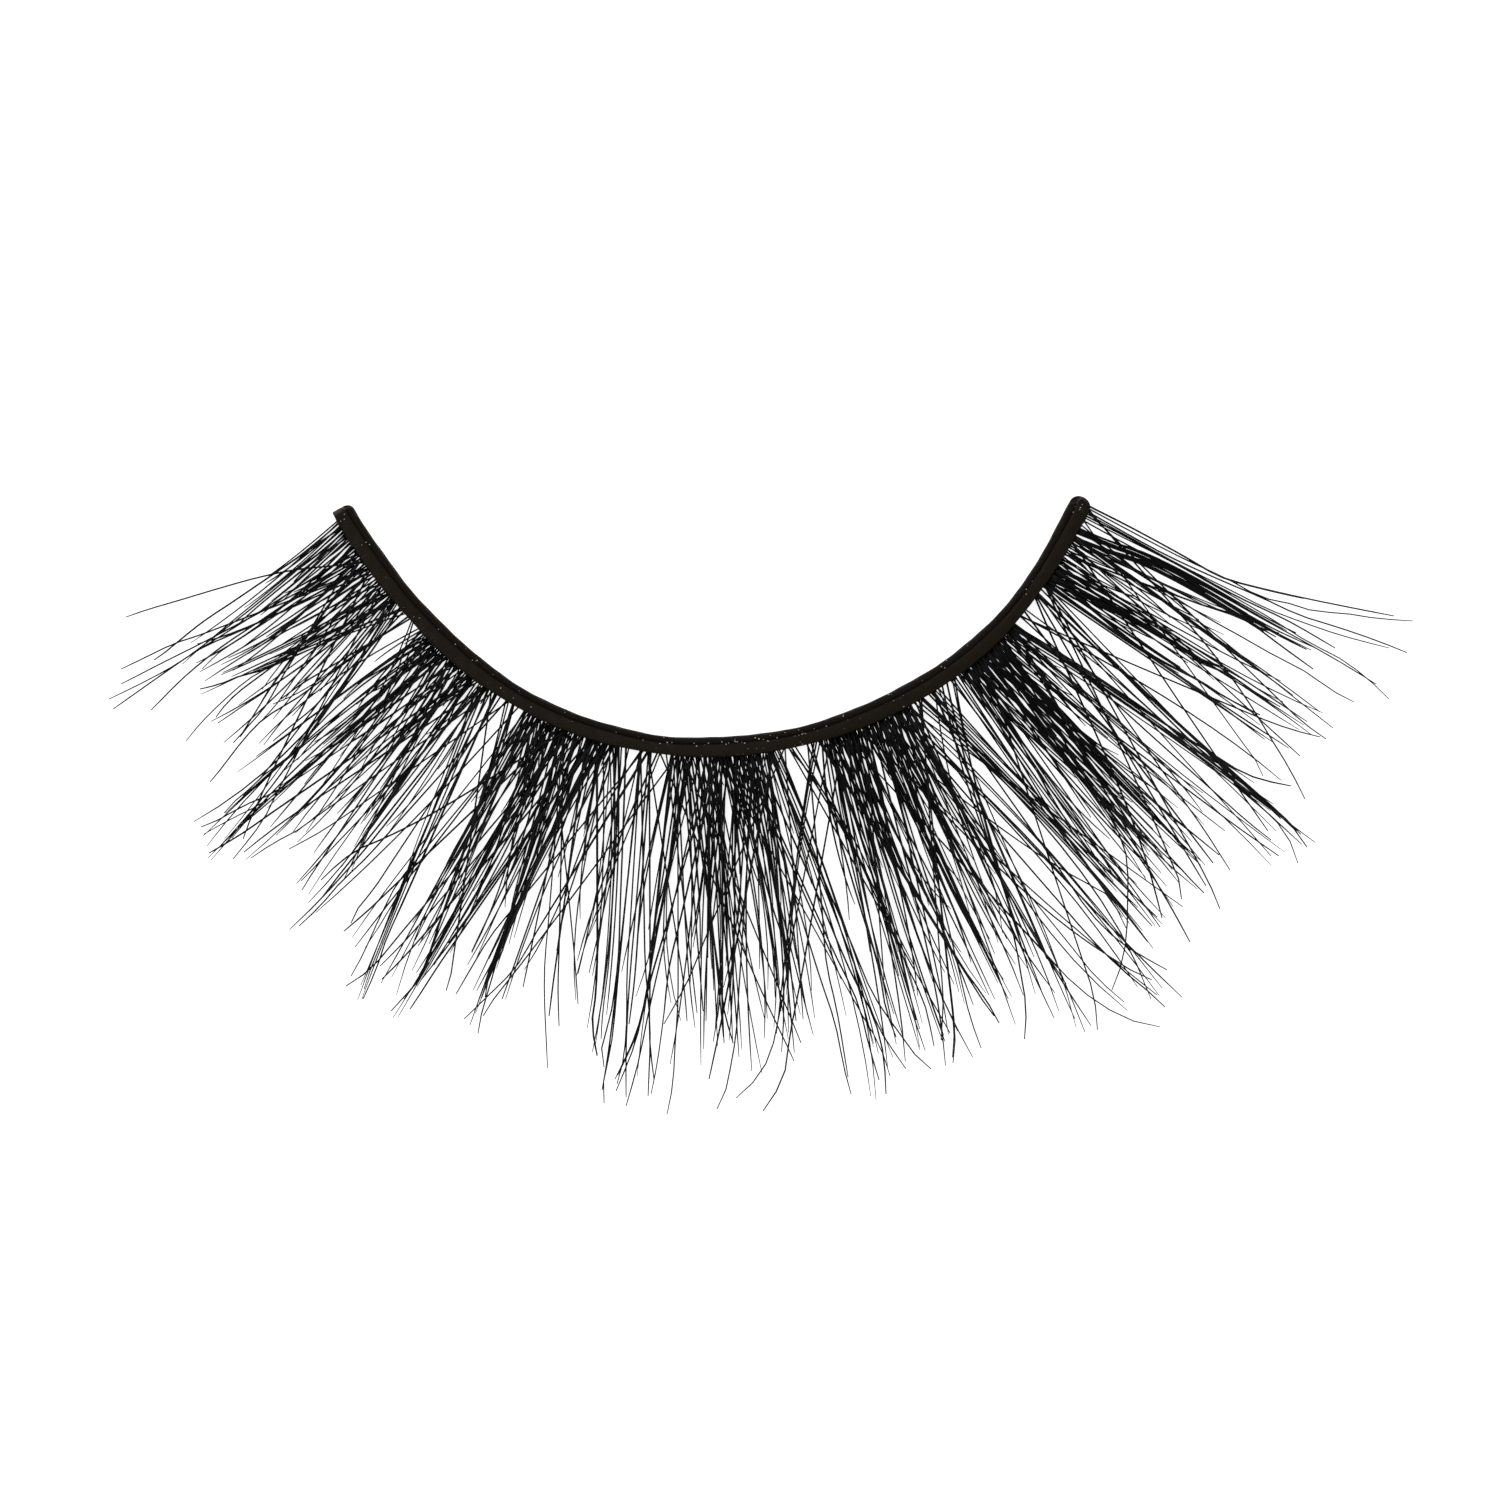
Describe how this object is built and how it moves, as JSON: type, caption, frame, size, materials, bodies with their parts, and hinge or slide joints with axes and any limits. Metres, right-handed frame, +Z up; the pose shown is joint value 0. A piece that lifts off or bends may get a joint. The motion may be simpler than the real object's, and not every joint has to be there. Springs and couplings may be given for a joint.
{
  "type": "false eyelash strip",
  "caption": "Curved band strip with short lash tufts and long spiky lashes that cross over them, for gluing along an upper eyelid.",
  "frame": {"origin": "on the band's underside, in the middle of its width and length, on the surface that the strip lies on", "axes": "+X runs along the strip from its inner to its outer end, the lashes point to -Y from the band, and +Z is up, the way the lashes curl"},
  "size_m": [0.0473, 0.0224, 0.0061],
  "materials": {
    "band": "satin black-brown dried glue over fibre",
    "thread": "matt black cotton thread",
    "short_lash": "satin black synthetic fibre",
    "long_lash": "satin black synthetic fibre"
  },
  "bodies": {
    "root": {"band": "band", "edge_thread": "thread", "under_lashes": "short_lash", "long_lashes": "long_lash"}
  },
  "joints": []
}
